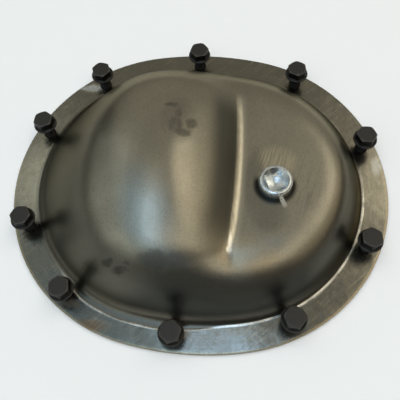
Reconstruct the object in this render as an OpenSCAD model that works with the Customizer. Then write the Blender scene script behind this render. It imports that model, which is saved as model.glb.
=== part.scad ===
// Pressed steel differential cover with its fill plug and ten flange bolts.
// The cover lies flange down. The origin is the centre of the sealing face,
// +X is the long way of the oval, +Z points out of the dome. Millimetres.

/* [Flange] */
// Length of the oval flange along X
flange_l = 300; // [286:1:330]
// Width of the oval flange along Y
flange_w = 264; // [240:1:276]
// Radius of the two long side arcs of the oval
side_r = 231; // [205:1:280]
// Thickness of the pressed sheet
sheet_t = 3.8; // [2.5:0.1:5]
// Size of the broken edge round the rim
edge_break = 0.5; // [0.2:0.1:1]

/* [Dome] */
// Distance from the rim to the foot of the dome
root_inset = 22.5; // [21:0.5:27]
// Rise of the ring gear hump above the flange
hump_rise = 62; // [52:1:70]
// Rise of the flat shelf that carries the plug
shelf_rise = 35.5; // [31:0.5:44]
// Shoulder width on the shelf end
shoulder_end = 38; // [34:1:52]
// Shoulder width on the far side
shoulder_far = 60; // [50:1:66]
// Shoulder width on the hump end
shoulder_hump = 84; // [66:1:88]
// Shoulder width on the near side
shoulder_near = 60; // [50:1:66]
// Fullness of the shoulder curve
shoulder_power = 3.4; // [2.6:0.1:4]
// How far the foot fillet reaches up the wall
root_blend = 9; // [5:0.5:11]

/* [Ring gear hump] */
// Distance of the crest line from the hump end of the rim
crest_from_end = 112; // [100:1:125]
// Radius of the hump towards its own end
crest_r = 85; // [75:5:140]
// Radius of the hump towards the shelf
crest_flat_r = 135; // [110:5:240]
// Radius of the hump along Y, round the ring gear
gear_r = 225; // [210:5:280]
// Distance of the step's foot from the shelf end of the rim
step_from_end = 117.5; // [112:0.5:124]
// Slope of the step between hump and shelf, rise over run
step_slope = 0.72; // [0.55:0.01:0.85]
// Roundness of the step's upper edge
step_blend = 12; // [8:0.5:16]
// Roundness of the crease at the step's foot
crease_blend = 2.5; // [1.5:0.1:5]
// Distance from the middle of the step's foot at which the crease starts to open out
crease_reach = 68; // [60:1:76]
// Roundness of the hump's foot where the crease has opened out
crease_widest = 12; // [8:0.5:18]

/* [Flange bolts] */
// Distance from the rim to the bolt centres
bolt_track = 11; // [10.5:0.1:13]
// Shank diameter
bolt_d = 9.5; // [8:0.1:10]
// Radial play of a bolt in its hole
hole_play = 0.4; // [0.2:0.05:0.8]
// Length from the tip to the underside of the washer head
bolt_l = 17.5; // [14:0.5:25]
// Hexagon size across flats
hex_af = 14.3; // [12:0.1:15.5]
// Height of the hexagon above its washer
hex_h = 6.2; // [5:0.1:8]
// Diameter of the washer that is one piece with the head
washer_d = 18.7; // [17:0.1:20]
// Thickness of that washer
washer_h = 2; // [1.2:0.1:3]

/* [Fill plug] */
// Distance of the plug from the foot of the step, along X
plug_from_step = 26.2; // [21:0.1:34]
// Position of the plug along Y
plug_y = -12.8; // [-30:0.2:20]
// Diameter of the plug's round head
plug_head_d = 24.6; // [23.6:0.1:28]
// Height of the plug's head
plug_head_h = 9; // [7.5:0.5:12]
// Radius of the head's rounded rim
plug_round = 2.2; // [1:0.1:3]
// Thread diameter of the plug
plug_thread_d = 20; // [18:0.5:21]
// Length of the plug below its head
plug_thread_l = 14; // [12:0.5:18]
// Radial play of the plug in the sheet
plug_play = 0.3; // [0.2:0.05:0.6]
// Radial play of the thread in the weld boss
thread_play = 0.1; // [0.05:0.05:0.2]
// Width of the square drive socket
socket_w = 12.7; // [9.5:0.1:13.2]
// Depth of the square drive socket
socket_depth = 7; // [5:0.5:9]
// Width of the round lead-in above the socket
socket_mouth_d = 19; // [18.8:0.1:20]
// Turn of the socket about the plug's own axis
socket_turn = 24; // [0:1:89]
// Outer diameter of the weld boss behind the sheet
boss_d = 32; // [28:0.5:40]
// Height of the weld boss
boss_h = 10; // [7:0.5:12]
// Leg of the weld bead round the boss
weld_leg = 2.5; // [1.5:0.5:4]

/* [Hidden] */
half_l = flange_l / 2;
half_w = flange_w / 2;
side_c = side_r - half_w;
side_gain = side_r - half_l;
end_c = (side_c * side_c - side_gain * side_gain) / (2 * side_gain);
end_r = half_l - end_c;
bolt_r = bolt_d / 2;
crest_x = crest_from_end - half_l;
step_x = half_l - step_from_end;
plug_x = step_x + plug_from_step;
shelf_z = sheet_t + shelf_rise;
hole_overrun = 1;
smooth = 64;

// Directions in which the rim faces beside the bolts of the far side, mirrored to the near side
bolt_dirs = [21.4, 62, 92.2, 126.6, 158.9];
bolt_count = 2 * len(bolt_dirs);
// Step by which each hexagon is turned from the one before, as loose bolts stand
bolt_turn = 37;

// Mesh of the pressed sheet: columns round the rim, rings up the wall, rows across the top
columns = 108;
wall_rings = 8;
rows = 18;
root_steps = [-0.5, -0.3, -0.1, 0.1, 0.35];
slope_step = 0.05;
crease_growth = 0.5;

BOLT_NODES = [for (i = [1:bolt_count]) str("cover_bolt_", i < 10 ? "0" : "", i)];

// Larger and smaller of two heights, joined by a smooth blend
function blend_max(a, b, width) =
    max(a, b) + pow(max(width - abs(a - b), 0), 2) / (4 * width);
function blend_min(a, b, width) =
    min(a, b) - pow(max(width - abs(a - b), 0), 2) / (4 * width);

// The rim is an oval of four arcs: two ends of end_r and two sides of side_r
function on_end(x, y) = abs(y) * end_c < (abs(x) - end_c) * side_c;
function from_centre(x, y) = on_end(x, y) ? [abs(x) - end_c, abs(y)] : [abs(x), abs(y) + side_c];
function inset(x, y) = (on_end(x, y) ? end_r : side_r) - norm(from_centre(x, y));

// Point where the rim faces direction a, moved in by d
function oval_point(a, d) =
    let (e = abs(sin(a)) * end_c < abs(cos(a)) * side_c, r = (e ? end_r : side_r) - d)
    [(e ? sign(cos(a)) * end_c : 0) + r * cos(a), (e ? 0 : -sign(sin(a)) * side_c) + r * sin(a)];

// Shoulder width at a point, blended between the four sides
function shoulder_of(v, x, y) =
    (v.x * v.x * (x > 0 ? shoulder_end : shoulder_hump)
     + v.y * v.y * (y > 0 ? shoulder_far : shoulder_near)) / (v * v);
function shoulder(x, y) = shoulder_of(from_centre(x, y), x, y);

// Share of the full rise: none at the foot of the wall, one past the shoulder
function fullness(x, y) =
    1 - pow(1 - min((inset(x, y) - root_inset) / shoulder(x, y), 1), shoulder_power);

// Rise of the hump over the ring gear, cut down by the step towards the shelf
function hump(x, y) =
    let (crest_fall = pow(x - crest_x, 2) / (2 * (x < crest_x ? crest_r : crest_flat_r)),
         gear_fall = gear_r - sqrt(gear_r * gear_r - y * y),
         step = shelf_rise + step_slope * (step_x - x))
    blend_min(hump_rise - crest_fall - gear_fall, step, step_blend);

// Roundness of the hump's foot: a tight crease below the step, open round the rest
function crease(x, y) =
    min(crease_blend + crease_growth * max(norm([x - step_x, y]) - crease_reach, 0), crease_widest);
// Rise of the hump above the shelf's level
function bump(x, y) = blend_max(hump(x, y), shelf_rise, crease(x, y)) - shelf_rise;

// Height of the sheet's upper face above the sealing face
function top_z(x, y) =
    let (share = fullness(x, y))
    sheet_t + blend_max(0, (shelf_rise + bump(x, y) * (2 - share)) * share, root_blend);

// Unit normal of the upper face
function top_normal(x, y) =
    let (sx = (top_z(x + slope_step, y) - top_z(x - slope_step, y)) / (2 * slope_step),
         sy = (top_z(x, y + slope_step) - top_z(x, y - slope_step)) / (2 * slope_step))
    [-sx, -sy, 1] / norm([sx, sy, 1]);

// Plan points of the sheet: rings round the rim and up the wall, then rows across the top
function wall_inset(a, share) = root_inset + share * shoulder_of([cos(a), sin(a)], cos(a), sin(a));
function ring_points(d) = [for (i = [0:columns - 1]) oval_point(360 * i / columns, d)];
function wall_points(share) =
    [for (i = [0:columns - 1]) let (a = 360 * i / columns) oval_point(a, wall_inset(a, share))];
function top_points() =
    [for (i = [1:columns / 2 - 1], j = [1:rows - 1])
        let (a = 360 * i / columns, p = oval_point(a, wall_inset(a, 1))) [p.x, p.y * (1 - 2 * j / rows)]];

ring_count = 2 + len(root_steps) + wall_rings;
plan = concat(ring_points(0), ring_points(edge_break),
              [for (s = root_steps) each ring_points(root_inset + s * root_blend)],
              [for (i = [1:wall_rings]) each wall_points(i / wall_rings)],
              top_points());
plan_count = len(plan);

function upper(i) =
    let (p = plan[i]) [p.x, p.y, i < columns ? sheet_t - edge_break : top_z(p.x, p.y)];
function lower(i) =
    let (p = plan[i]) i < columns ? [p.x, p.y, edge_break]
                                  : [p.x, p.y, top_z(p.x, p.y)] - sheet_t * top_normal(p.x, p.y);

// Number of the plan point in a ring, and in the rows across the top
function ring_at(ring, i) = ring * columns + i % columns;
function top_at(i, j) =
    let (last = ring_count - 1, half = columns / 2)
    i <= 0 ? ring_at(last, 0) : i >= half ? ring_at(last, half) :
    j <= 0 ? ring_at(last, i) : j >= rows ? ring_at(last, columns - i) :
    ring_count * columns + (i - 1) * (rows - 1) + j - 1;

ring_faces = [for (r = [0:ring_count - 2], i = [0:columns - 1])
    each [[ring_at(r, i), ring_at(r, i + 1), ring_at(r + 1, i + 1)],
          [ring_at(r, i), ring_at(r + 1, i + 1), ring_at(r + 1, i)]]];
top_faces = [for (i = [0:columns / 2 - 1], j = [0:rows - 1])
    let (a = top_at(i, j), b = top_at(i, j + 1), c = top_at(i + 1, j + 1), d = top_at(i + 1, j))
    each (i == 0 ? [[a, d, c]] : i == columns / 2 - 1 ? [[a, c, b]] : [[a, c, b], [a, d, c]])];
plan_faces = concat(ring_faces, top_faces);
rim_faces = [for (i = [0:columns - 1])
    each [[ring_at(0, i), ring_at(0, i) + plan_count, ring_at(0, i + 1) + plan_count],
          [ring_at(0, i), ring_at(0, i + 1) + plan_count, ring_at(0, i + 1)]]];

function bolt_dir(i) = i < len(bolt_dirs) ? bolt_dirs[i] : -bolt_dirs[bolt_count - 1 - i];
function bolt_at(i) = oval_point(bolt_dir(i), bolt_track);

// One sheet of constant thickness, drawn to its true form
module pressed_sheet() {
    polyhedron(
        points = concat([for (i = [0:plan_count - 1]) upper(i)], [for (i = [0:plan_count - 1]) lower(i)]),
        faces = concat([for (f = plan_faces) [f[2], f[1], f[0]]],
                       [for (f = plan_faces) [for (v = f) v + plan_count]],
                       rim_faces),
        convexity = 6);
}

module cover() {
    color([0.42, 0.4, 0.35]) difference() {
        pressed_sheet();
        for (i = [0:bolt_count - 1])
            translate([bolt_at(i).x, bolt_at(i).y, -hole_overrun])
                cylinder(r = bolt_r + hole_play, h = sheet_t + 2 * hole_overrun, $fn = smooth);
        translate([plug_x, plug_y, shelf_z - sheet_t - hole_overrun])
            cylinder(r = plug_thread_d / 2 + plug_play, h = sheet_t + 2 * hole_overrun, $fn = smooth);
    }
}

// Round-headed plug with a square drive socket, screwed through the sheet into the weld boss
module fill_plug() {
    head_r = plug_head_d / 2;
    thread_r = plug_thread_d / 2;
    lead = socket_mouth_d / 2 - socket_w / 2;
    tip = thread_r - 1;
    color([0.78, 0.8, 0.82]) translate([plug_x, plug_y, shelf_z]) difference() {
        union() {
            rotate_extrude($fn = smooth) {
                square([head_r, plug_head_h - plug_round]);
                square([head_r - plug_round, plug_head_h]);
                translate([head_r - plug_round, plug_head_h - plug_round]) circle(plug_round, $fn = smooth);
            }
            translate([0, 0, 1 - plug_thread_l]) cylinder(r = thread_r, h = plug_thread_l, $fn = smooth);
            translate([0, 0, -plug_thread_l]) cylinder(r1 = tip, r2 = thread_r, h = 1, $fn = smooth);
        }
        rotate([0, 0, socket_turn])
            translate([-socket_w / 2, -socket_w / 2, plug_head_h - socket_depth])
                cube([socket_w, socket_w, socket_depth + hole_overrun]);
        translate([0, 0, plug_head_h - lead])
            cylinder(r1 = socket_w / 2, r2 = socket_mouth_d / 2, h = lead, $fn = smooth);
        translate([0, 0, plug_head_h - socket_depth - 1.2])
            cylinder(r1 = 1.4, r2 = 3.6, h = 1.21, $fn = smooth);
    }
}

// Round steel boss welded behind the shelf, threaded for the plug
module plug_boss() {
    bore_r = plug_thread_d / 2 + thread_play;
    boss_r = boss_d / 2;
    color([0.36, 0.35, 0.33]) translate([plug_x, plug_y, shelf_z - sheet_t])
        rotate_extrude($fn = smooth)
            polygon([[bore_r, 0], [boss_r + weld_leg, 0], [boss_r, -weld_leg],
                     [boss_r, 1 - boss_h], [boss_r - 1, -boss_h], [bore_r, -boss_h]]);
}

// Hexagon head in one piece with its washer, standing on its tip in the flange hole
module cover_bolt() {
    hex_r = hex_af / 2 / cos(30);
    tip_break = 1;
    color([0.07, 0.065, 0.06]) {
        cylinder(r1 = bolt_r - tip_break, r2 = bolt_r, h = tip_break, $fn = smooth);
        translate([0, 0, tip_break]) cylinder(r = bolt_r, h = bolt_l - tip_break, $fn = smooth);
        translate([0, 0, bolt_l]) cylinder(r = washer_d / 2, h = washer_h * 0.6, $fn = smooth);
        translate([0, 0, bolt_l + washer_h * 0.6])
            cylinder(r1 = washer_d / 2, r2 = washer_d / 2 - 1.2, h = washer_h * 0.4, $fn = smooth);
        intersection() {
            translate([0, 0, bolt_l]) cylinder(r = hex_r, h = washer_h + hex_h, $fn = 6);
            translate([0, 0, bolt_l])
                cylinder(r1 = hex_af / 2 + washer_h + hex_h - 0.4, r2 = hex_af / 2 - 0.4,
                         h = washer_h + hex_h, $fn = smooth);
        }
    }
}

cover();
fill_plug();
plug_boss();
for (i = [0:bolt_count - 1])
    translate([bolt_at(i).x, bolt_at(i).y, 0]) rotate([0, 0, bolt_turn * i]) cover_bolt();
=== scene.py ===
"""Pressed steel differential cover lying flange down, with its fill plug and ten loose flange bolts."""

import math

import bpy
import numpy as np
from bpy.props import FloatProperty, FloatVectorProperty, IntProperty, PointerProperty
from bpy.types import Operator, Panel, PropertyGroup
from mathutils import Matrix, Vector


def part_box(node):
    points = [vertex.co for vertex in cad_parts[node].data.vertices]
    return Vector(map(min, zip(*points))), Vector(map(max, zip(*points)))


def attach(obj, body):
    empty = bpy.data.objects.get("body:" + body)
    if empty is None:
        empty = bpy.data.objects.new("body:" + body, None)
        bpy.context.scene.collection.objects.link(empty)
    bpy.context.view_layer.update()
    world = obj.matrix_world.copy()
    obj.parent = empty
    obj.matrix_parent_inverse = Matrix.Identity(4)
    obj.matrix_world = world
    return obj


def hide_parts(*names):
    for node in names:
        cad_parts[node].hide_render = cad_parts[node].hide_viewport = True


bl_info = {
    "name": "Pressed Differential Cover",
    "version": (1, 0, 0),
    "blender": (4, 5, 0),
    "location": "View3D > Sidebar > Cover",
    "description": "Builds a pressed steel axle cover with its fill plug and flange bolts",
    "category": "Object",
}

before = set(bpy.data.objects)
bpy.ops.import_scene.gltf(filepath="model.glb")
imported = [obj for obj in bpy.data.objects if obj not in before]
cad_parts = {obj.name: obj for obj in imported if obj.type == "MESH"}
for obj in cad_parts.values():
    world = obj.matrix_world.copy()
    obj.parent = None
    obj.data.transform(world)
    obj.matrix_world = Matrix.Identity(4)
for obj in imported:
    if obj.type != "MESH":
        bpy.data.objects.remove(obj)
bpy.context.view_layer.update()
COVER_LOW, COVER_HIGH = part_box("cover")
PLUG_LOW, PLUG_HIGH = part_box("fill_plug")
BOLT_NODES = sorted(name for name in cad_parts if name.startswith("cover_bolt"))
MM = 0.001
CREASE_GROWTH = 0.5
TURNED_COLUMNS = 128
BOLT_COLUMNS = 72
FLOOR_RADIUS = 4.0

# Marks, painted shade and painted highlights on the raw sheet: ovals on the plan, each as its centre and
# half sizes in millimetres
NEAR_FOOT = (((-52, -108), (62, 22)),)
# Places where the painted shade on the walls is lighter
LESS_WALL_SHADE = (((-62, -80), (40, 20)), ((108, -45), (24, 50)), ((-114, -18), (20, 40)))
# Painted shade on the hump's end
SHADED_DOME_END = (((-94, 20), (40, 60)),)
STRAW_TINT = (((42, -68), (19, 12)), ((35, -73), (9, 8)))
# Lit places of the flange, left out of its painted shade
LIT_FLANGE = (((-134, -4), (14, 36)), ((141, 10), (13, 28)), ((26, -122), (46, 13)),
              ((-102, 91), (12, 5)), ((137, 28), (6, 6)))
# A place of deeper painted shade on the flange
SHADED_FLANGE = (((-102, -86), (48, 34)),)
# Painted warm reflection on the flange at the hump's end
WARM_FLANGE_REFLECTION = (((-136, 2), (14, 26)),)
# Painted cool reflection on the near flange
COOL_FLANGE_REFLECTION = (((26, -121), (44, 12)),)
# Painted pale sheen on two spots of the flange
SHEEN_FAR = (((-102, 91), (12, 3.5)),)
SHEEN_END = (((142, 27), (4, 8)),)
OIL_SMEARS = (((-20, 38), (5.5, 2.4)), ((-15, 31), (3.4, 6)), ((-16, 20), (6, 7)),
              ((-10, 15), (7, 3.6)), ((-5, 23), (4, 5)), ((-55, -80), (4, 2.2)),
              ((-46, -85), (6, 2.2)), ((-41, -81), (3, 1.4)))
OIL_CLOUD = (((-14, 26), (12, 17)),)
BLUE_SCALE = (((-20, -78), (12, 5)), ((-6, -77), (9, 5)))
RUST_SPOTS = (((-3, -115), (7, 5)), ((-68, -117), (12, 4)), ((-88, -102), (8, 3)))
# Painted highlight at the crease's near end
CREASE_END_HIGHLIGHT = (((28.7, -60), (1.2, 7)), ((28.2, -64.5), (1.9, 2.2)))

# Marks round the plug, measured from its axis
PLUG_FAN = (((1.5, 20), (14, 12)),)
PLUG_SCRATCHES = (((22, 4), (13, 24)),)
PLUG_DARK_OVALS = (((-15, 0), (7, 28)), ((-4, -24), (13, 13)))

# Soft boxes: name, tilt from straight up in degrees, size in metres, watts, colour, distance
SOFTBOXES = (
    ("overhead strip", (-1, -12), (0.42, 1.42), 5.2, (0.54, 0.75, 1.0), 2.0),
    ("strip tail", (-4, -38), (0.5, 0.46), 1.1, (0.55, 0.78, 1.0), 2.0),
    ("strip end", (0, 13), (0.42, 0.35), 0.35, (1.0, 0.88, 0.58), 2.0),
    ("cool wing", (-17, -8), (0.68, 1.65), 2.0, (0.45, 0.72, 1.0), 2.0),
    ("near wing", (-26, -46), (0.9, 0.8), 1.0, (0.85, 1.0, 1.0), 2.2),
    ("warm strip", (29, 4), (0.9, 2.9), 9.5, (1.0, 0.93, 0.76), 2.2),
    ("near glow", (14, -24), (0.5, 0.8), 0.65, (1.0, 0.92, 0.7), 2.0),
    ("warm wing", (54, 0), (0.9, 3.0), 3.6, (1.0, 0.86, 0.6), 2.3),
    ("far panel", (8, 52), (5.0, 3.4), 17, (1.0, 0.97, 0.84), 2.5),
    ("cool panel", (-48, 0), (2.4, 3.5), 13, (0.9, 1.0, 0.97), 2.5),
    ("near left panel", (-49, -56), (1.6, 1.8), 3.6, (0.92, 1.0, 0.95), 2.5),
)
FILL = ("fill", (0, 0), (3.0, 3.0), 42, (1.0, 1.0, 1.0), 2.6)


def length(name, description, default):
    """A size in metres, given in millimetres."""
    return FloatProperty(name=name, description=description, default=default * MM, min=0.0,
                         precision=5, unit="LENGTH")


def place(name, description, default):
    """A position in metres, given in millimetres."""
    return FloatProperty(name=name, description=description, default=default * MM,
                         precision=5, unit="LENGTH")


def colour(name, description, default):
    """A linear colour."""
    return FloatVectorProperty(name=name, description=description, default=default, size=3,
                               min=0.0, max=1.0, subtype="COLOR")


class CoverSizes(PropertyGroup):
    """Sizes of the pressed sheet, as its drawing has them."""

    rim_l: length("Rim length", "Length of the oval flange", float(COVER_HIGH[0] - COVER_LOW[0]) / MM)
    rim_w: length("Rim width", "Width of the oval flange", float(COVER_HIGH[1] - COVER_LOW[1]) / MM)
    side_r: length("Side radius", "Radius of the two long side arcs of the rim", 231)
    sheet_t: length("Sheet", "Thickness of the sheet", 3.8)
    edge: length("Edge", "Size of the broken edge round the rim", 0.5)
    root: length("Root inset", "Distance from the rim to the foot of the dome", 22.5)
    hump: length("Hump rise", "Rise of the ring gear hump", 62)
    shelf: length("Shelf rise", "Rise of the flat shelf", 35.5)
    shoulder_end: length("End shoulder", "Shoulder width on the shelf end", 38)
    shoulder_far: length("Far shoulder", "Shoulder width on the far side", 60)
    shoulder_hump: length("Hump shoulder", "Shoulder width on the hump end", 84)
    shoulder_near: length("Near shoulder", "Shoulder width on the near side", 60)
    fullness: FloatProperty(name="Fullness", description="Fullness of the shoulder curve", default=3.4)
    root_blend: length("Root blend", "How far the foot fillet reaches up the wall", 9)
    crest_from_end: length("Crest", "Distance of the crest from the hump end of the rim", 112)
    crest_r: length("Crest radius", "Radius of the hump towards its own end", 85)
    crest_flat_r: length("Flat radius", "Radius of the hump towards the shelf", 135)
    gear_r: length("Gear radius", "Radius of the hump round the ring gear", 225)
    step_from_end: length("Step", "Distance of the step's foot from the shelf end of the rim", 117.5)
    step_slope: FloatProperty(name="Step slope", description="Rise over run of the step", default=0.72)
    step_blend: length("Step edge", "Roundness of the step's upper edge", 12)
    crease_blend: length("Crease", "Roundness of the crease at the step's foot", 2.5)
    crease_reach: length("Crease reach",
                         "Distance from the step's middle at which the crease starts to open", 68)
    crease_widest: length("Open crease", "Roundness of the hump's foot far from the step", 12)
    columns: IntProperty(name="Columns", description="Mesh columns round the rim", default=400, min=48)
    rows: IntProperty(name="Rows", description="Mesh rows across the top", default=90, min=12)


class BoltSizes(PropertyGroup):
    """Sizes of one flange bolt."""

    shank_d: length("Shank", "Outer diameter of the thread", 9.5)
    shank_l: length("Shank length", "Length from the tip to the washer", 17.5)
    pitch: length("Pitch", "Pitch of the thread", 1.59)
    depth: length("Thread depth", "Depth of the thread", 0.75)
    hex_af: length("Hexagon", "Hexagon size across flats", 14.3)
    head_top: length("Head", "Height of the whole head with its washer", 8.2)
    washer_d: length("Washer", "Diameter of the washer", 18.7)
    washer_h: length("Washer height", "Thickness of the washer", 2.0)
    hole_play: length("Play", "Radial play of a bolt in its hole", 0.4)
    turn: FloatProperty(name="Turn", description="Turn of each hexagon from the one before",
                        default=math.radians(37), unit="ROTATION")


class PlugSizes(PropertyGroup):
    """Sizes of the fill plug."""

    head_d: length("Head", "Diameter of the round head", float(PLUG_HIGH[0] - PLUG_LOW[0]) / MM)
    head_h: length("Head height", "Height of the head above the shelf", 9)
    rim_round: length("Rim radius", "Radius of the head's rounded rim", 2.2)
    thread_d: length("Thread", "Thread diameter", 20)
    socket_w: length("Socket", "Width of the square socket", 12.7)
    socket_depth: length("Socket depth", "Depth of the square socket", 7)
    mouth_d: length("Mouth", "Width of the round lead-in above the socket", 19)
    turn: FloatProperty(name="Turn", description="Turn of the socket", default=math.radians(24),
                        unit="ROTATION")
    hole_play: length("Play", "Radial play of the plug in the sheet", 0.3)


class Finishes(PropertyGroup):
    """Colours of the metals."""

    steel: colour("Bare steel", "Colour of the raw pressed sheet", (0.365, 0.335, 0.265))
    # The next colour is the painted shade on the walls, the step, the fillet, the hump's end and the
    # flange, and also the colour of the dark grain, scratches and ovals.
    dark_steel_and_shade: colour("Dark steel", "Colour of the drawn walls", (0.08, 0.081, 0.071))
    rust: colour("Rust tint", "Colour of the faint rust on the flange", (0.24, 0.13, 0.06))
    # The next colour is that of the oil smears and, darkened, of the painted shadow round the plug.
    stain_and_shadow: colour("Stain", "Colour of the oil and scale marks", (0.045, 0.042, 0.038))
    zinc: colour("Zinc", "Colour of the bright zinc plate", (0.88, 0.92, 0.93))
    black: colour("Black oxide", "Colour of the bolts", (0.012, 0.011, 0.0095))
    worn: colour("Worn black", "Colour of the bolts where they are rubbed", (0.085, 0.078, 0.068))
    # The next colour is that of the painted highlight along the dome's foot.
    bright: colour("Rubbed steel", "Colour of the polished lines and edges", (0.85, 0.81, 0.72))


class StageLook(PropertyGroup):
    """Camera and floor."""

    azimuth: FloatProperty(name="Azimuth", description="Turn of the camera", unit="ROTATION",
                           default=math.radians(9.677))
    elevation: FloatProperty(name="Elevation", description="Height of the camera above the horizon",
                             unit="ROTATION", default=math.radians(65.04))
    roll: FloatProperty(name="Roll", description="Roll of the camera", unit="ROTATION",
                        default=math.radians(-5.4685))
    distance: length("Distance", "Distance from the camera to its target", 428.37)
    target_x: place("Target X", "Where the camera looks", 2.277)
    target_y: place("Target Y", "Where the camera looks", -12.124)
    lens: FloatProperty(name="Lens", description="Focal length in millimetres", default=48.35)
    floor: colour("Floor", "Colour of the floor", (0.86, 0.86, 0.86))


def blend_max(a, b, width):
    """The larger of two heights, with a parabola over the last width of their difference."""
    return np.maximum(a, b) + np.maximum(width - np.abs(a - b), 0.0) ** 2 / (4 * width)


def blend_min(a, b, width):
    """The smaller of two heights, with a parabola over the last width of their difference."""
    return np.minimum(a, b) - np.maximum(width - np.abs(a - b), 0.0) ** 2 / (4 * width)


class SheetForm:
    """The pressed sheet as a height over its plan."""

    def __init__(self, sizes):
        self.s = sizes
        half_l, half_w = sizes.rim_l / 2, sizes.rim_w / 2
        self.side_c = sizes.side_r - half_w
        gain = sizes.side_r - half_l
        self.end_c = (self.side_c ** 2 - gain ** 2) / (2 * gain)
        self.end_r = half_l - self.end_c
        self.crest_x = sizes.crest_from_end - half_l
        self.step_x = half_l - sizes.step_from_end

    def arcs(self, x, y):
        """Vector from the rim arc's centre to each point, and that arc's radius."""
        ax, ay = np.abs(x), np.abs(y)
        end = ay * self.end_c < (ax - self.end_c) * self.side_c
        vx = np.where(end, ax - self.end_c, ax)
        vy = np.where(end, ay, ay + self.side_c)
        return vx, vy, np.where(end, self.end_r, self.s.side_r)

    def rim_point(self, angle, inset):
        """Point where the rim faces an angle: arc centre plus direction times radius less inset."""
        c, s = np.cos(angle), np.sin(angle)
        end = np.abs(s) * self.end_c < np.abs(c) * self.side_c
        radius = np.where(end, self.end_r, self.s.side_r) - inset
        x = np.where(end, np.sign(c) * self.end_c, 0.0) + radius * c
        y = np.where(end, 0.0, -np.sign(s) * self.side_c) + radius * s
        return x, y

    def shoulder(self, vx, vy, x, y):
        """Shoulder width: the end's and the side's widths, weighed by the squared direction."""
        s = self.s
        end = np.where(x > 0, s.shoulder_end, s.shoulder_hump)
        side = np.where(y > 0, s.shoulder_far, s.shoulder_near)
        return (vx ** 2 * end + vy ** 2 * side) / (vx ** 2 + vy ** 2)

    def height(self, x, y):
        """Sheet thickness plus hump or shelf, times a share that is one less a power of the distance
        left to the shoulder's end. The hump is its crest less two round falls, cut by the step."""
        s = self.s
        vx, vy, radius = self.arcs(x, y)
        inset = radius - np.hypot(vx, vy)
        left = 1 - np.minimum((inset - s.root) / self.shoulder(vx, vy, x, y), 1.0)
        share = 1 - left ** s.fullness
        dx = x - self.crest_x
        crest = dx ** 2 / (2 * np.where(dx < 0, s.crest_r, s.crest_flat_r))
        gear = s.gear_r - np.sqrt(s.gear_r ** 2 - y ** 2)
        step = s.shelf + s.step_slope * (self.step_x - x)
        hump = blend_min(s.hump - crest - gear, step, s.step_blend)
        away = np.hypot(x - self.step_x, y)
        opened = CREASE_GROWTH * np.maximum(away - s.crease_reach, 0.0)
        crease = np.minimum(s.crease_blend + opened, s.crease_widest)
        bump = blend_max(hump, s.shelf, crease) - s.shelf
        return s.sheet_t + blend_max(0.0, (s.shelf + bump * (2 - share)) * share, s.root_blend)

    def normal(self, x, y):
        """Unit normal from the height's central differences."""
        e = 0.05 * MM
        sx = (self.height(x + e, y) - self.height(x - e, y)) / (2 * e)
        sy = (self.height(x, y + e) - self.height(x, y - e)) / (2 * e)
        n = np.stack([-sx, -sy, np.ones_like(sx)], -1)
        return n / np.linalg.norm(n, axis=-1, keepdims=True)


def sheet_plan(form):
    """Plan of the sheet: rings of equal inset from the rim to the shoulder's end, whose last ring is
    joined straight across in Y by rows. Gives x, y, the drop of the rounded rim, and the ring count."""
    s = form.s
    angle = 2 * np.pi * np.arange(s.columns) / s.columns
    turn = np.linspace(0, np.pi / 2, 5)
    rim = s.edge * (1 - np.cos(turn))
    flat = np.linspace(s.edge, s.root - 0.55 * s.root_blend, 7)[1:]
    foot = s.root + np.linspace(-0.5, 0.5, 19) * s.root_blend
    fixed = np.concatenate([rim, flat, foot])
    share = np.linspace(0.11, 1.0, 32)
    width = form.shoulder(np.cos(angle), np.sin(angle), np.cos(angle), np.sin(angle))
    insets = np.concatenate([np.repeat(fixed[:, None], s.columns, 1), s.root + share[:, None] * width])
    x, y = form.rim_point(angle[None, :], insets)
    drop = np.zeros_like(x)
    drop[:len(turn)] = (s.edge * (1 - np.sin(turn)))[:, None]
    half = s.columns // 2
    across = 1 - 2 * np.arange(1, s.rows) / s.rows
    top_x = np.repeat(x[-1, 1:half, None], s.rows - 1, 1)
    top_y = y[-1, 1:half, None] * across
    return (np.concatenate([x.ravel(), top_x.ravel()]), np.concatenate([y.ravel(), top_y.ravel()]),
            np.concatenate([drop.ravel(), np.zeros(top_x.size)]), len(insets))


def sheet_faces(columns, rows, rings):
    """Faces over the plan, from above: ring quads, then strips across the top with end triangles."""
    ring = np.arange(rings * columns).reshape(rings, columns)
    after = np.roll(ring, -1, axis=1)
    quads = [np.stack([ring[:-1], after[:-1], after[1:], ring[1:]], -1).reshape(-1, 4)]
    half = columns // 2
    table = np.empty((half + 1, rows + 1), int)
    last = ring[-1]
    table[0], table[half] = last[0], last[half]
    table[1:half, 0] = last[1:half]
    table[1:half, rows] = last[columns - 1:half:-1]
    inner = np.arange((half - 1) * (rows - 1)).reshape(half - 1, rows - 1)
    table[1:half, 1:rows] = rings * columns + inner
    a, b, c, d = table[:-1, :-1], table[:-1, 1:], table[1:, 1:], table[1:, :-1]
    quads.append(np.stack([a, d, c, b], -1)[1:-1].reshape(-1, 4))
    first = np.stack([a, d, c], -1)[0]
    final = np.stack([a, d, b], -1)[-1]
    return np.concatenate(quads), np.concatenate([first, final])


def sheet_mesh(form):
    """Closed sheet of constant thickness: the upper face, and the same face moved along its normals."""
    s = form.s
    x, y, drop, rings = sheet_plan(form)
    upper = np.stack([x, y, form.height(x, y)], -1)
    lower = upper - s.sheet_t * form.normal(x, y)
    upper[:, 2] -= drop
    lower[:, 2] += drop
    quads, tris = sheet_faces(s.columns, s.rows, rings)
    count = len(x)
    ring = np.arange(s.columns)
    after = np.roll(ring, -1)
    rim = np.stack([ring + count, after + count, after, ring], -1)
    return new_mesh("pressed_sheet", np.concatenate([upper, lower]),
                    quads, quads[:, ::-1] + count, rim, tris, tris[:, ::-1] + count)


def new_mesh(name, points, *faces):
    """A Blender mesh from an array of points and arrays of faces."""
    mesh = bpy.data.meshes.new(name)
    mesh.from_pydata(points.tolist(), [], [face for group in faces for face in group.tolist()])
    mesh.update()
    return mesh


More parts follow.
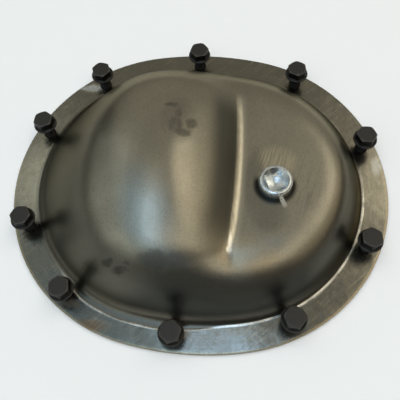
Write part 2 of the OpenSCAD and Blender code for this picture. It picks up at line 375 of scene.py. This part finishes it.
def grid_mesh(name, x, y, z):
    """Closed surface over a grid whose columns run once round and whose end rows shrink to a point."""
    rows, columns = x.shape
    points = np.stack([x, y, z], -1)
    poles = points[[0, -1]].mean(axis=1)
    index = np.arange(rows * columns).reshape(rows, columns)
    after = np.roll(index, -1, axis=1)
    quads = np.stack([index[:-1], index[1:], after[1:], after[:-1]], -1).reshape(-1, 4)
    top, bottom = rows * columns, rows * columns + 1
    cap = np.stack([np.full(columns, top), index[0], after[0]], -1)
    base = np.stack([np.full(columns, bottom), after[-1], index[-1]], -1)
    return new_mesh(name, np.concatenate([points.reshape(-1, 3), poles]), quads, cap, base)


def turned_mesh(name, centre, radius, height):
    """Profile turned round an upright axis: radius times the angle's cosine and sine, at its height."""
    angle = 2 * np.pi * np.arange(TURNED_COLUMNS) / TURNED_COLUMNS
    radius, height = np.array(radius)[:, None], np.array(height)[:, None]
    return grid_mesh(name, centre[0] + radius * np.cos(angle), centre[1] + radius * np.sin(angle),
                     np.repeat(height, TURNED_COLUMNS, 1))


def prism_mesh(name, outline, low, high):
    """Straight prism over a closed outline given anticlockwise, from low to high."""
    n = len(outline)
    points = np.concatenate([np.c_[outline, np.full(n, low)], np.c_[outline, np.full(n, high)]])
    i = np.arange(n)
    j = np.roll(i, -1)
    return new_mesh(name, points, np.stack([i, j, j + n, i + n], -1), i[None, ::-1], i[None] + n)


def circle(centre, radius, count=96):
    """Points round a circle."""
    a = 2 * np.pi * np.arange(count) / count
    return np.stack([centre[0] + radius * np.cos(a), centre[1] + radius * np.sin(a)], -1)


def add_object(name, mesh):
    """A new object at the origin that holds the mesh."""
    piece = bpy.data.objects.new(name, mesh)
    bpy.context.scene.collection.objects.link(piece)
    return piece


def cut(piece, cutters):
    """Takes each cutter's volume from the piece, and deletes the cutter."""
    for mesh in cutters:
        tool = add_object("cutter", mesh)
        step = piece.modifiers.new("cut", "BOOLEAN")
        step.operation = "DIFFERENCE"
        step.solver = "MANIFOLD"
        step.object = tool
    baked = bpy.data.meshes.new_from_object(piece.evaluated_get(bpy.context.evaluated_depsgraph_get()))
    old = piece.data
    tools = [step.object for step in piece.modifiers]
    piece.modifiers.clear()
    piece.data = baked
    bpy.data.meshes.remove(old)
    for tool in tools:
        data = tool.data
        bpy.data.objects.remove(tool)
        bpy.data.meshes.remove(data)


def smooth(mesh, degrees):
    """Smooth shading with edges sharper than the angle kept."""
    mesh.polygons.foreach_set("use_smooth", np.ones(len(mesh.polygons), bool))
    mesh.set_sharp_from_angle(angle=math.radians(degrees))
    mesh.update()


def finish(piece, material, slot, *nodes):
    """Gives a piece its material and its place on the body, and hides the nodes it stands for."""
    piece.data.materials.clear()
    piece.data.materials.append(material)
    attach(piece, "root")
    if nodes:
        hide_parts(*nodes)


def bolt_places():
    """Centre of each bolt node on the floor plan."""
    boxes = [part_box(name) for name in BOLT_NODES]
    return [((low[0] + high[0]) / 2, (low[1] + high[1]) / 2) for low, high in boxes]


def plug_place():
    """Centre of the plug and height of the shelf that it sits on."""
    sizes = bpy.context.scene.cover_sizes
    x = (PLUG_LOW[0] + PLUG_HIGH[0]) / 2
    y = (PLUG_LOW[1] + PLUG_HIGH[1]) / 2
    return float(x), float(y), sizes.sheet_t + sizes.shelf


def mark_rim_frame(mesh, form):
    """Stores at each point the direction in which the rim faces there and the distance from it."""
    co = np.empty(len(mesh.vertices) * 3)
    mesh.vertices.foreach_get("co", co)
    x, y = co.reshape(-1, 3)[:, 0], co.reshape(-1, 3)[:, 1]
    vx, vy, radius = form.arcs(x, y)
    reach = np.maximum(np.hypot(vx, vy), 1e-9)
    data = np.stack([np.sign(x) * vx / reach, np.sign(y) * vy / reach, radius - reach], -1)
    layer = mesh.attributes.new("rim_frame", "FLOAT_VECTOR", "POINT")
    layer.data.foreach_set("vector", data.astype(np.float32).ravel())
    steep = mesh.attributes.new("steep", "FLOAT", "POINT")
    steep.data.foreach_set("value", (1 - form.normal(x, y)[:, 2]).astype(np.float32))


def bolt_grid(sizes):
    """One bolt as a grid: radius and height for each level and each angle round the axis.
    The hexagon's radius is the flat's distance over the cosine to the nearest flat, with soft corners;
    the thread's radius is a triangle wave of height over pitch less angle over a turn."""
    angle = 2 * np.pi * np.arange(BOLT_COLUMNS) / BOLT_COLUMNS
    flat = sizes.hex_af / 2
    corner_power = 44
    facing = np.stack([np.maximum(np.cos(angle - k * np.pi / 3 - np.pi / 6), 0) for k in range(6)])
    hexagon = flat / (facing ** corner_power).sum(axis=0) ** (1 / corner_power)
    top = sizes.shank_l + sizes.head_top
    washer_top = sizes.shank_l + sizes.washer_h
    washer_r, shank_r = sizes.washer_d / 2, sizes.shank_d / 2
    dish, chamfer, rim_round, under_round = 0.05 * MM, 2.4 * MM, 0.6 * MM, 0.3 * MM
    neck, thread_top, point = 1.2 * MM, sizes.shank_l - 0.5 * MM, 1.3 * MM
    level_r, level_z = [], []

    def add(radius, height):
        level_r.append(np.broadcast_to(radius, BOLT_COLUMNS))
        level_z.append(np.broadcast_to(height, BOLT_COLUMNS))

    for share in (0.02, 0.4, 0.78):
        add(share * flat, top)
    add(0.86 * flat, top - 0.02 * MM)
    for down in np.linspace(dish, chamfer, 12):
        cone = 0.9 * flat + 1.75 * (down - dish) + 0.25 * MM
        add(blend_min(hexagon, cone, 0.35 * MM), top - down)
    for share in np.linspace(0.15, 1, 5):
        add(hexagon, top - chamfer + share * (washer_top + 0.5 * MM - top + chamfer))
    add(hexagon + 0.15 * MM, washer_top + 0.18 * MM)
    add(hexagon + 0.5 * MM, washer_top)
    for share in (0.35, 0.7):
        add(hexagon + share * (washer_r - rim_round - hexagon) + 0.2 * MM, washer_top - share * 0.5 * MM)
    for turn in np.linspace(0, np.pi / 2, 5):
        add(washer_r - rim_round * (1 - math.sin(turn)),
            washer_top - rim_round - rim_round * (1 - math.cos(turn)))
    for turn in np.linspace(0, np.pi / 2, 4):
        add(washer_r - under_round * (1 - math.cos(turn)),
            sizes.shank_l + under_round * (1 - math.sin(turn)))
    for share in np.linspace(0, 1, 4):
        add(shank_r + (1 - share) * neck, sizes.shank_l - share ** 3 * 0.3 * MM)
    for height in np.linspace(thread_top, 0.2 * MM, 112):
        wave = np.abs(2 * ((height / sizes.pitch - angle / (2 * np.pi)) % 1.0) - 1)
        crest = np.clip(wave * 1.5 - 0.25, 0, 1)
        fade = min(1.0, (thread_top - height) / neck)
        lead = min(0.0, (height - point) * 0.8)
        add(np.minimum(shank_r - sizes.depth * fade * (1 - crest), shank_r + lead), height)
    add(shank_r - neck, 0.0)
    add(0.6 * shank_r, 0.0)
    return np.array(level_r), np.array(level_z), angle


def rounded_square(width, radius, count=8):
    """Outline of a square with rounded corners, anticlockwise."""
    a = np.linspace(0, np.pi / 2, count)
    corner = np.stack([np.cos(a), np.sin(a)], -1) * radius + width / 2 - radius
    turns = [np.array([[c, s], [-s, c]]) for c, s in ((1, 0), (0, 1), (-1, 0), (0, -1))]
    return np.concatenate([corner @ turn for turn in turns])


def turned(outline, angle, centre):
    """An outline turned about its own centre and moved."""
    c, s = math.cos(angle), math.sin(angle)
    return outline @ np.array([[c, s], [-s, c]]) + np.array(centre)


class Value:
    """A socket that can stand in an expression; each operator adds its Math node."""

    def __init__(self, graph, socket):
        self.graph = graph
        self.socket = socket

    def math(self, operation, other):
        """A Math node on this value and another."""
        return self.graph.node("ShaderNodeMath", {"operation": operation}, {0: self, 1: other})

    def __add__(self, other):
        return self.math("ADD", other)

    def __radd__(self, other):
        return self.math("ADD", other)

    def __mul__(self, other):
        return self.math("MULTIPLY", other)

    def __rmul__(self, other):
        return self.math("MULTIPLY", other)

    def __sub__(self, other):
        return self.math("SUBTRACT", other)

    def __rsub__(self, other):
        return self.graph.node("ShaderNodeMath", {"operation": "SUBTRACT"}, {0: other, 1: self})

    def __truediv__(self, other):
        return self.math("DIVIDE", other)

    def __pow__(self, other):
        return self.math("POWER", other)

    def between(self, low, high):
        """Zero at low, one at high, smooth and held beyond them."""
        return self.graph.node("ShaderNodeMapRange", {"interpolation_type": "SMOOTHSTEP"},
                               {"Value": self, "From Min": low, "From Max": high}, "Result")

    def at_most(self, other):
        """The smaller of the two."""
        return self.math("MINIMUM", other)

    def at_least(self, other):
        """The larger of the two."""
        return self.math("MAXIMUM", other)


class Graph:
    """A material's nodes, added by type, settings and sockets."""

    def __init__(self, name):
        self.material = bpy.data.materials.new(name)
        self.material.use_nodes = True
        self.tree = self.material.node_tree
        self.tree.nodes.clear()

    def node(self, kind, settings=None, sockets=None, out=0):
        """Adds a node, sets its settings first, then its sockets, and gives one output."""
        made = self.tree.nodes.new(kind)
        for key, value in (settings or {}).items():
            setattr(made, key, value)
        for key, value in (sockets or {}).items():
            if isinstance(value, Value):
                self.tree.links.new(value.socket, made.inputs[key])
            else:
                made.inputs[key].default_value = value
        return Value(self, made.outputs[out]) if made.outputs else made

    def coordinates(self):
        """Object coordinates, which every pattern reads."""
        return self.node("ShaderNodeTexCoord", out="Object")

    def parts(self, vector):
        """The three numbers of a vector."""
        split = self.node("ShaderNodeSeparateXYZ", sockets={0: vector})
        outputs = split.socket.node.outputs
        return [Value(self, outputs[i]) for i in range(3)]

    def vector(self, x, y, z):
        """A vector from three numbers."""
        return self.node("ShaderNodeCombineXYZ", sockets={0: x, 1: y, 2: z})

    def stretch(self, vector, x, y, z):
        """A vector scaled along each axis."""
        return self.node("ShaderNodeVectorMath", {"operation": "MULTIPLY"}, {0: vector, 1: (x, y, z)})

    def noise(self, vector, scale, detail, roughness):
        """Noise from zero to one."""
        return self.node("ShaderNodeTexNoise", None, {"Vector": vector, "Scale": scale, "Detail": detail,
                                                      "Roughness": roughness}, "Fac")

    def mix(self, factor, a, b):
        """Two colours mixed."""
        def tint(value):
            return value if isinstance(value, Value) else (*value, 1.0)
        return self.node("ShaderNodeMix", {"data_type": "RGBA"},
                         {"Factor": factor, 6: tint(a), 7: tint(b)}, 2)

    def bump(self, height, strength, distance, normal=None):
        """A normal tilted by a height, over the normal before it."""
        sockets = {"Height": height, "Strength": strength, "Distance": distance}
        if normal is not None:
            sockets["Normal"] = normal
        return self.node("ShaderNodeBump", None, sockets, "Normal")

    def surface(self, **sockets):
        """Principled surface joined to the output."""
        shader = self.node("ShaderNodeBsdfPrincipled", None, sockets)
        self.node("ShaderNodeOutputMaterial", None, {"Surface": shader})
        return self.material


def shaded(tint, factor):
    """A colour made darker or lighter."""
    return [c * factor for c in tint]


def spot(x, y, centre, size, soft):
    """One inside an oval place on the sheet, falling to none over its soft edge."""
    dx = (x - centre[0] * MM) / (size[0] * MM)
    dy = (y - centre[1] * MM) / (size[1] * MM)
    return 1 - (dx * dx + dy * dy).between(1 - soft, 1 + soft)


def spots(x, y, ovals, soft):
    """The strongest of several spots."""
    found = spot(x, y, *ovals[0], soft)
    for oval in ovals[1:]:
        found = found.at_least(spot(x, y, *oval, soft))
    return found


class RawSteel(Graph):
    """Oiled raw pressed steel: painted shade on the walls, step, hump end and flange, painted highlights
    and reflections on the crease, foot, rim and flange, brushed shelf, turning marks on the flange,
    stains.
    """

    def __init__(self, looks):
        """Coordinates, noises and masks that the marks share."""
        super().__init__("raw_steel")
        self.looks = looks
        self.pos = pos = self.coordinates()
        self.x, self.y, z = self.parts(pos)
        x, y = self.x, self.y
        self.rim = self.node("ShaderNodeAttribute", {"attribute_name": "rim_frame"}, out="Vector")
        self.rim_x, self.rim_y, self.inset = self.parts(self.rim)
        steep = self.node("ShaderNodeAttribute", {"attribute_name": "steep"}, out="Fac")

        self.seat = self.inset + spots(x, y, NEAR_FOOT, 0.8) * 4.6 * MM
        self.flange = 1 - self.seat.between(19.2 * MM, 20.6 * MM)
        self.above = 1 - self.flange
        # Mask of the steep walls, which get painted shade below
        self.wall = steep.between(0.1, 0.42) * self.inset.between(23 * MM, 27 * MM)
        self.wall = self.wall * (1 - 0.25 * spots(x, y, LESS_WALL_SHADE, 0.8))
        self.off_crease = (x - 31.6 * MM + y * y * 0.7) / (2.1 * MM)
        self.crease_span = 1 - (y * y).between(3.2e-3, 4.9e-3)

        self.cloud = self.noise(pos, 16, 3, 0.55)
        self.patch = self.noise(self.stretch(pos, 1, 1, 0.2), 55, 4, 0.6)
        self.fine = self.noise(pos, 220, 3, 0.6)
        self.grain = self.noise(pos, 750, 3, 0.7)
        self.lines = self.noise(self.stretch(pos, 900, 26, 40), 1.0, 3, 0.65)
        self.rings = self.noise(self.stretch(self.rim, 7, 7, 1900), 1.0, 3, 0.6)
        self.ribs = self.noise(self.stretch(self.rim, 210, 210, 25), 1.0, 3, 0.6)
        crossed = self.vector(x + y, x - y, z)
        self.slant = self.noise(self.stretch(crossed, 26, 900, 20), 1.0, 3, 0.6)
        self.wander_x = x + (self.noise(pos, 90, 4, 0.65) - 0.5) * 9 * MM
        self.wander_y = y + (self.noise(self.stretch(pos, -1, -1, 1), 90, 4, 0.65) - 0.5) * 9 * MM

        streaky = self.noise(self.stretch(pos, 170, 90, 90), 1.0, 3, 0.6).between(0.3, 0.62)
        cloudy = self.ragged(OIL_CLOUD, 1.0) * 0.5
        self.smears = self.ragged(OIL_SMEARS, 0.9).at_least(cloudy) * (0.6 + 0.4 * streaky)
        self.blue = self.ragged(BLUE_SCALE, 0.9)
        self.rust = self.ragged(RUST_SPOTS, 0.9) * self.flange

    def ragged(self, ovals, soft):
        """The strongest of several spots, with edges that wander."""
        return spots(self.wander_x, self.wander_y, ovals, soft)

    def paint(self, mask, tint):
        """Lays a colour over the tone where the mask is one."""
        self.tone = self.mix(mask, self.tone, tint)

    def dome(self):
        """Brushed shelf and hump, with painted shade on the step, the fillet, the hump's end and the
        walls.
        """
        steel, dark = self.looks.steel, self.looks.dark_steel_and_shade
        self.tone = self.mix(self.cloud.between(0.3, 0.7), steel, shaded(steel, 0.84))
        self.paint(self.lines.between(0.5, 0.8) * self.above * 0.16, shaded(steel, 1.35))
        # Painted shade on the hump's end
        self.paint(spots(self.x, self.y, SHADED_DOME_END, 0.8) * self.above * 0.38, dark)
        off = self.off_crease
        # Painted shade on the step's face
        step = off.between(-12.5, -6.0) * (1 - off.between(-1.6, -0.2))
        self.paint(step * (1 - (self.y * self.y).between(1.6e-3, 4.6e-3)) * 0.8, dark)
        self.paint(self.ragged(STRAW_TINT, 1.0) * 0.65, (0.38, 0.3, 0.19))
        # Painted shade on the fillet above the dome's foot
        self.paint(self.above * (1 - self.seat.between(24 * MM, 33 * MM)) * 0.6, dark)
        # Painted shade on the steep walls
        self.paint(self.wall, dark)

    def flange_face(self):
        """Flange with painted shade outside its lit places, painted warm and cool reflections, turning
        rings, slanting swirls, painted sheen on two spots and a painted highlight along the near rim
        edge.
        """
        steel, dark, flange = self.looks.steel, self.looks.dark_steel_and_shade, self.flange
        # Painted shade on the flange outside its lit places, deeper in one place
        self.paint(flange * (1 - self.ragged(LIT_FLANGE, 0.8)) * 0.53, dark)
        self.paint(flange * self.ragged(SHADED_FLANGE, 0.8) * 0.3, dark)
        # Painted warm reflection on the flange
        self.paint(flange * self.ragged(WARM_FLANGE_REFLECTION, 0.8) * 0.5, (0.46, 0.43, 0.34))
        # Painted cool reflection on the near flange
        self.paint(flange * self.ragged(COOL_FLANGE_REFLECTION, 0.8) * 0.8, (0.35, 0.365, 0.35))
        self.paint(flange * self.patch.between(0.42, 0.7) * 0.25, shaded(steel, 0.5))
        self.paint(flange * self.fine.between(0.45, 0.75) * 0.3, shaded(steel, 0.6))
        self.paint(flange * self.rings.between(0.5, 0.8) * 0.35, shaded(steel, 1.5))
        swirl = self.slant.between(0.54, 0.7) * self.patch.between(0.35, 0.6)
        self.paint(flange * swirl * 0.45, shaded(steel, 1.8))
        # Painted pale bluish sheen on two spots of the flange
        sheen = self.ragged(SHEEN_FAR, 0.8).at_least(self.ragged(SHEEN_END, 1.0) * 0.5)
        self.paint(flange * (sheen * (0.4 + 0.6 * self.fine)), (0.72, 0.78, 0.8))
        # Painted golden highlight along the rim's edge on the near side
        rim_highlight = 1 - self.inset.between(0.9 * MM, 2.0 * MM)
        self.paint(rim_highlight * (1 - self.rim_y.between(-0.3, 0.4)) * 0.55, (0.5, 0.41, 0.26))

    def stains(self):
        """Grain, oil smears, blue scale and faint rust."""
        self.paint(self.grain.between(0.45, 0.75) * 0.3, self.looks.dark_steel_and_shade)
        self.paint(self.smears * 0.55, self.looks.stain_and_shadow)
        self.paint(self.blue * 0.5, (0.05, 0.058, 0.07))
        self.paint(self.rust * self.patch.between(0.3, 0.6) * 0.45, self.looks.rust)

    def crease(self):
        """Line along the step's foot, partly rubbed metal and partly a painted highlight, with a painted
        highlight beside it and another at its near end.
        """
        off, steel = self.off_crease, self.looks.steel
        sparkle = self.noise(self.stretch(self.pos, 500, 90, 90), 1.0, 3, 0.7).between(0.3, 0.7)
        # The line is partly rubbed metal with sparkle and partly a painted highlight, stronger towards
        # the near end
        line = (1 - (off * off).between(0.1, 1.9)) * self.crease_span
        line = line * (0.15 + 0.5 * sparkle) * (1.25 - self.y.between(-60 * MM, 10 * MM) * 0.5)
        # Painted highlight beside the line
        glow = off.between(-0.6, 0.4) * (1 - off.between(1.0, 3.6)) * self.crease_span
        self.paint(glow * 0.38, shaded(steel, 1.7))
        self.paint(line, shaded(steel, 2.0))
        # Painted highlight at the crease's near end
        self.paint(spots(self.x, self.y, CREASE_END_HIGHLIGHT, 0.9), (0.95, 0.9, 0.8))

    def foot_highlight(self):
        """Broken painted highlight where the dome's foot meets the flange, on the near side."""
        broken = self.noise(self.stretch(self.rim, 9, 9, 0), 1.0, 3, 0.6).between(0.4, 0.58)
        foot = self.seat.between(18.2 * MM, 19.2 * MM) * (1 - self.seat.between(19.7 * MM, 20.5 * MM))
        foot = foot * (1 - self.rim_y.between(-0.15, 0.3)) * self.rim_x.between(-0.8, -0.5)
        foot = foot * (0.45 + 0.55 * broken) * (1 + self.rim_x.between(0.3, 0.6) * 0.5)
        # Painted highlight along the dome's foot
        self.paint(foot.at_most(1.0), self.looks.bright)

    def round_plug(self, plug_x, plug_y, plug_r):
        """Brushed fan and a painted highlight arc above the plug, scratches, dark ovals, a painted
        shadow round its lower side and a short pale streak below it.
        """
        px, py = self.x - plug_x, self.y - plug_y
        reach = (px * px + py * py) ** 0.5
        north = (py / reach.at_least(MM)).between(0.1, 0.7)
        hair = self.noise(self.vector(px * 800 - py * 190, py * 40, 0.0), 1.0, 2, 0.5)
        fan = spots(px, py, PLUG_FAN, 0.7) * (0.25 + 0.75 * hair.between(0.45, 0.6))
        self.paint(fan * 0.65, (0.66, 0.58, 0.4))
        # Painted highlight arc round the plug's north side
        arc = reach.between(plug_r, plug_r + 0.6 * MM)
        arc = arc * (1 - reach.between(plug_r + 1.2 * MM, plug_r + 3.4 * MM))
        self.paint(arc * north * 0.85, (0.7, 0.62, 0.44))
        scratches = spots(px, py, PLUG_SCRATCHES, 0.8) * hair.between(0.52, 0.66)
        self.paint(scratches * 0.3, self.looks.dark_steel_and_shade)
        # Darker ovals beside and below the plug
        self.paint(spots(px, py, PLUG_DARK_OVALS, 0.6) * 0.32, self.looks.dark_steel_and_shade)
        # Painted shadow round the plug's lower side
        shade = 1 - reach.between(plug_r + 1.2 * MM, plug_r + 5.2 * MM)
        self.paint(shade * (1 - north) * 0.95, shaded(self.looks.stain_and_shadow, 0.4))
        # Short pale streak below the plug
        along = px * 0.42 - py * 0.9
        across = px * 0.9 + py * 0.42
        run = (1 - (across * across).between(0.8e-6, 4.0e-6)) * along.between(11 * MM, 12.5 * MM)
        run = run * (1 - along.between(17 * MM, 20 * MM)) * (0.5 + self.fine)
        self.paint(run.at_most(1.0) * 0.8, (0.62, 0.62, 0.58))

    def roughness(self):
        """Smoother flange, rougher smears, scale, rust and walls."""
        rough = 0.26 + 0.1 * self.cloud + 0.1 * (self.fine - 0.5) - 0.05 * self.flange
        return rough + 0.22 * self.smears + 0.12 * self.blue + 0.25 * self.rust + 0.12 * self.wall

    def relief(self):
        """Waves of the pressing, grain and pits, then turning rings, swirls, ribs and lines."""
        marks = (self.rings - 0.5) * self.flange * 1.3 + (self.slant - 0.5) * self.flange * 0.9
        ribbed = (1 - self.inset.between(27 * MM, 36 * MM)) * self.above
        marks = marks + (self.ribs - 0.5) * ribbed * 2.2 + (self.lines - 0.5) * self.above * 0.5
        waves = self.noise(self.stretch(self.pos, 1, 1, 0.3), 70, 2, 0.5) * self.flange
        normal = self.bump(self.noise(self.pos, 24, 1, 0.4), 1.0, 0.0007)
        normal = self.bump(waves, 1.0, 0.0004, normal)
        normal = self.bump(self.grain, 0.3, 0.00006, normal)
        normal = self.bump(self.noise(self.pos, 300, 2, 0.5), 0.3, 0.0001, normal)
        return self.bump(marks, 0.5, 0.00007, normal)


def raw_steel(looks, plug_x, plug_y, plug_r):
    """The pressed sheet's steel, painted from the dome outwards and round the plug last."""
    steel = RawSteel(looks)
    steel.dome()
    steel.flange_face()
    steel.stains()
    steel.crease()
    steel.foot_highlight()
    steel.round_plug(plug_x, plug_y, plug_r)
    return steel.surface(**{"Base Color": steel.tone, "Metallic": 1.0, "Roughness": steel.roughness(),
                            "Normal": steel.relief(), "Specular Tint": (0.6, 0.56, 0.46, 1.0)})


def zinc_plate(looks):
    """Bright zinc plate, a little cloudy, with a fine grain."""
    g = Graph("zinc_plate")
    pos = g.coordinates()
    cloud = g.noise(pos, 300, 3, 0.6)
    tint = g.mix(cloud.between(0.35, 0.65), looks.zinc, shaded(looks.zinc, 0.7))
    rough = 0.2 + 0.16 * cloud
    normal = g.bump(g.noise(pos, 900, 2, 0.5), 0.15, 0.00005)
    return g.surface(**{"Base Color": tint, "Metallic": 1.0, "Roughness": rough, "Normal": normal})


def boss_steel(looks):
    """Turned steel of the weld boss."""
    g = Graph("boss_steel")
    pos = g.coordinates()
    cloud = g.noise(pos, 120, 3, 0.6)
    tint = g.mix(cloud, shaded(looks.steel, 0.9), shaded(looks.steel, 0.6))
    normal = g.bump(g.noise(g.stretch(pos, 40, 40, 2600), 1.0, 2, 0.5), 0.3, 0.00005)
    rough = 0.34 + 0.15 * cloud
    return g.surface(**{"Base Color": tint, "Metallic": 1.0, "Roughness": rough, "Normal": normal})


def black_oxide(looks, sizes):
    """Black oxide on steel, rubbed grey on the top of the head and on the washer's rim."""
    g = Graph("black_oxide")
    pos = g.coordinates()
    z = g.parts(pos)[2]
    cloud = g.noise(pos, 350, 4, 0.6)
    seat = sizes.shank_l
    top = seat + sizes.head_top
    rubbed = z.between(top - 1.0 * MM, top - 0.6 * MM)
    rubbed = rubbed * (1 - 0.6 * z.between(top - 0.1 * MM, top - 0.03 * MM))
    ring = z.between(seat + 0.7 * MM, seat + 1.1 * MM)
    ring = ring * (1 - z.between(seat + 1.3 * MM, seat + 1.8 * MM))
    wear = rubbed.at_least(ring * 0.5) * (0.5 + 0.6 * cloud) + cloud.between(0.6, 0.85) * 0.3
    tint = g.mix(wear.at_most(1.0), looks.black, looks.worn)
    rough = 0.4 + 0.2 * cloud
    normal = g.bump(g.noise(pos, 1600, 3, 0.6), 0.3, 0.00004)
    return g.surface(**{"Base Color": tint, "Metallic": 0.6, "Roughness": rough, "Normal": normal})


def floor_paper(looks):
    """Plain pale floor."""
    g = Graph("floor_paper")
    return g.surface(**{"Base Color": (*looks.floor, 1.0), "Roughness": 0.9, "Specular IOR Level": 0.1})


class COVER_OT_sheet(Operator):
    """Builds the pressed sheet with its bolt holes and its plug hole"""

    bl_idname = "diffcover.sheet"
    bl_label = "Pressed Sheet"

    def execute(self, context):
        scene = context.scene
        form = SheetForm(scene.cover_sizes)
        plug, bolt = scene.plug_sizes, scene.bolt_sizes
        piece = add_object("pressed_cover", sheet_mesh(form))
        x, y, shelf = plug_place()
        hole = circle((x, y), plug.thread_d / 2 + plug.hole_play)
        cutters = [prism_mesh("hole", hole, shelf - 0.02, shelf + 0.02)]
        for centre in bolt_places():
            hole = circle(centre, bolt.shank_d / 2 + bolt.hole_play)
            cutters.append(prism_mesh("hole", hole, -0.01, 0.01))
        cut(piece, cutters)
        smooth(piece.data, 40)
        mark_rim_frame(piece.data, form)
        finish(piece, raw_steel(scene.finishes, x, y, plug.head_d / 2), "bare_steel", "cover")
        return {"FINISHED"}


class COVER_OT_plug(Operator):
    """Builds the fill plug and finishes the weld boss behind the sheet"""

    bl_idname = "diffcover.plug"
    bl_label = "Fill Plug"

    def execute(self, context):
        scene = context.scene
        s = scene.plug_sizes
        x, y, shelf = plug_place()
        head, thread, base = s.head_d / 2, s.thread_d / 2, float(PLUG_LOW[2])
        top, floor = shelf + s.head_h, shelf + s.head_h - s.socket_depth
        turn = np.linspace(0, np.pi / 2, 9)
        radius = [0.2 * head, 0.6 * head, *(head - s.rim_round + s.rim_round * np.sin(turn)),
                  head, head - 0.4 * MM, thread, thread, thread - 1 * MM, 0.3 * thread]
        height = [top, top, *(top - s.rim_round + s.rim_round * np.cos(turn)),
                  shelf + 0.3 * MM, shelf, shelf, base + 1 * MM, base, base]
        piece = add_object("socket_plug", turned_mesh("plug", (x, y), radius, height))
        lead = (s.mouth_d - s.socket_w) / 2
        square = turned(rounded_square(s.socket_w, 0.8 * MM), s.turn, (x, y))
        cone = turned_mesh("lead_in", (x, y),
                           [s.mouth_d / 2 + 1 * MM, s.mouth_d / 2, s.socket_w / 2 - 3 * MM],
                           [top + 1 * MM, top, top - lead - 3 * MM])
        drill = turned_mesh("drill_point", (x, y), [5.4 * MM, 5.4 * MM, 2.6 * MM],
                            [floor + 0.5 * MM, floor, floor - 1.2 * MM])
        cut(piece, [prism_mesh("socket", square, floor, top + 5 * MM), cone, drill])
        smooth(piece.data, 32)
        finish(piece, zinc_plate(scene.finishes), "zinc_plate", "fill_plug")
        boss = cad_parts["plug_boss"]
        boss.data.materials.clear()
        boss.data.materials.append(boss_steel(scene.finishes))
        return {"FINISHED"}


class COVER_OT_bolts(Operator):
    """Builds the ten washer-head bolts that stand in the flange holes"""

    bl_idname = "diffcover.bolts"
    bl_label = "Flange Bolts"

    def execute(self, context):
        scene = context.scene
        radius, height, angle = bolt_grid(scene.bolt_sizes)
        oxide = black_oxide(scene.finishes, scene.bolt_sizes)
        for i, (node, centre) in enumerate(zip(BOLT_NODES, bolt_places())):
            turn = angle + scene.bolt_sizes.turn * i
            mesh = grid_mesh(node, centre[0] + radius * np.cos(turn),
                             centre[1] + radius * np.sin(turn), height)
            smooth(mesh, 50)
            finish(add_object("dressed_" + node, mesh), oxide, "black_bolt", node)
        return {"FINISHED"}


def aim(item, back, up):
    """Matrix at a point whose Z axis points back from the target, with its Y axis near up."""
    z = back.normalized()
    x = up.cross(z).normalized()
    y = z.cross(x)
    return Matrix([(*row, 0) for row in (x, y, z)] + [(*item, 1)]).transposed()


def softbox(name, tilt, size, power, tint, distance):
    """Rectangular lamp seen from the object at a tilt to +X and to +Y from straight up, in degrees."""
    lamp = bpy.data.lights.new(name, "AREA")
    lamp.shape = "RECTANGLE"
    lamp.size, lamp.size_y = size
    lamp.energy = power
    lamp.color = tint
    item = bpy.data.objects.new(name, lamp)
    bpy.context.scene.collection.objects.link(item)
    way = Vector((math.tan(math.radians(tilt[0])), math.tan(math.radians(tilt[1])), 1)).normalized()
    item.matrix_world = aim(way * distance, way, Vector((0, 1, 0)))
    return item


class COVER_OT_stage(Operator):
    """Sets up the pale floor, the soft lights and the camera"""

    bl_idname = "diffcover.stage"
    bl_label = "Stage"

    def execute(self, context):
        scene = context.scene
        look = scene.stage_look
        outline = circle((0, 0), FLOOR_RADIUS, 128)
        floor = add_object("floor", prism_mesh("floor", outline, -0.02, 0.0))
        floor.data.materials.append(floor_paper(look))

        for light in SOFTBOXES:
            softbox(*light)
        fill = softbox(*FILL)
        fill.visible_glossy = False

        world = bpy.data.worlds.new("studio")
        world.use_nodes = True
        sky = world.node_tree.nodes["Background"].inputs
        sky["Color"].default_value = (0.5, 0.48, 0.44, 1)
        sky["Strength"].default_value = 0.1
        scene.world = world

        ce, se = math.cos(look.elevation), math.sin(look.elevation)
        back = Vector((math.sin(look.azimuth) * ce, -math.cos(look.azimuth) * ce, se))
        target = Vector((look.target_x, look.target_y, scene.cover_sizes.sheet_t))
        camera = bpy.data.cameras.new("camera")
        camera.sensor_width = 36
        camera.lens = look.lens
        item = bpy.data.objects.new("camera", camera)
        scene.collection.objects.link(item)
        item.matrix_world = aim(target + back * look.distance, back, Vector((0, 0, 1)))
        item.matrix_world = item.matrix_world @ Matrix.Rotation(look.roll, 4, "Z")
        scene.camera = item
        scene.view_settings.view_transform = "Standard"
        return {"FINISHED"}


class COVER_PT_panel(Panel):
    """Lists the pieces of the cover"""

    bl_idname = "COVER_PT_panel"
    bl_label = "Differential Cover"
    bl_space_type = "VIEW_3D"
    bl_region_type = "UI"
    bl_category = "Cover"

    def draw(self, context):
        for operator in OPERATORS:
            self.layout.operator(operator.bl_idname)


GROUPS = {"cover_sizes": CoverSizes, "bolt_sizes": BoltSizes, "plug_sizes": PlugSizes,
          "finishes": Finishes, "stage_look": StageLook}
OPERATORS = (COVER_OT_sheet, COVER_OT_plug, COVER_OT_bolts, COVER_OT_stage)


def register():
    for item in (*GROUPS.values(), *OPERATORS, COVER_PT_panel):
        bpy.utils.register_class(item)
    for name, group in GROUPS.items():
        setattr(bpy.types.Scene, name, PointerProperty(type=group))


def unregister():
    for name in GROUPS:
        delattr(bpy.types.Scene, name)
    for item in reversed((*GROUPS.values(), *OPERATORS, COVER_PT_panel)):
        bpy.utils.unregister_class(item)


def main():
    register()
    bpy.ops.diffcover.sheet()
    bpy.ops.diffcover.plug()
    bpy.ops.diffcover.bolts()
    bpy.ops.diffcover.stage()


if __name__ == "__main__":
    main()
